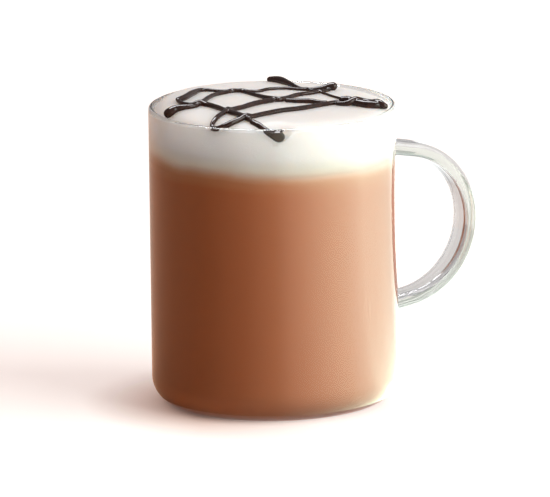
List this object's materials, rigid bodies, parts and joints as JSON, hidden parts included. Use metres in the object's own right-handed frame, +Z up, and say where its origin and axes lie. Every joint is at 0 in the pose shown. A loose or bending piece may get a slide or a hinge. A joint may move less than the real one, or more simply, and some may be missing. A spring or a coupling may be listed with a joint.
{
  "type": "latte in a clear glass mug",
  "caption": "Straight clear glass mug with a flat ear handle, filled with milky latte under a domed milk foam with chocolate sauce.",
  "frame": {"origin": "centre of the flat base, on the surface that the mug stands on", "axes": "+Z up along the mug's axis, +X towards the handle, which lies in the plane Y = 0"},
  "size_m": [0.1119, 0.08, 0.1],
  "materials": {
    "clear_glass": "clear, polished",
    "latte": "opaque milky drink behind glass",
    "milk_foam": "matt, fine bubbles",
    "chocolate_sauce": "very glossy"
  },
  "bodies": {
    "root": {"glass_mug": "clear_glass", "latte": "latte", "milk_foam": "milk_foam"}
  },
  "joints": []
}
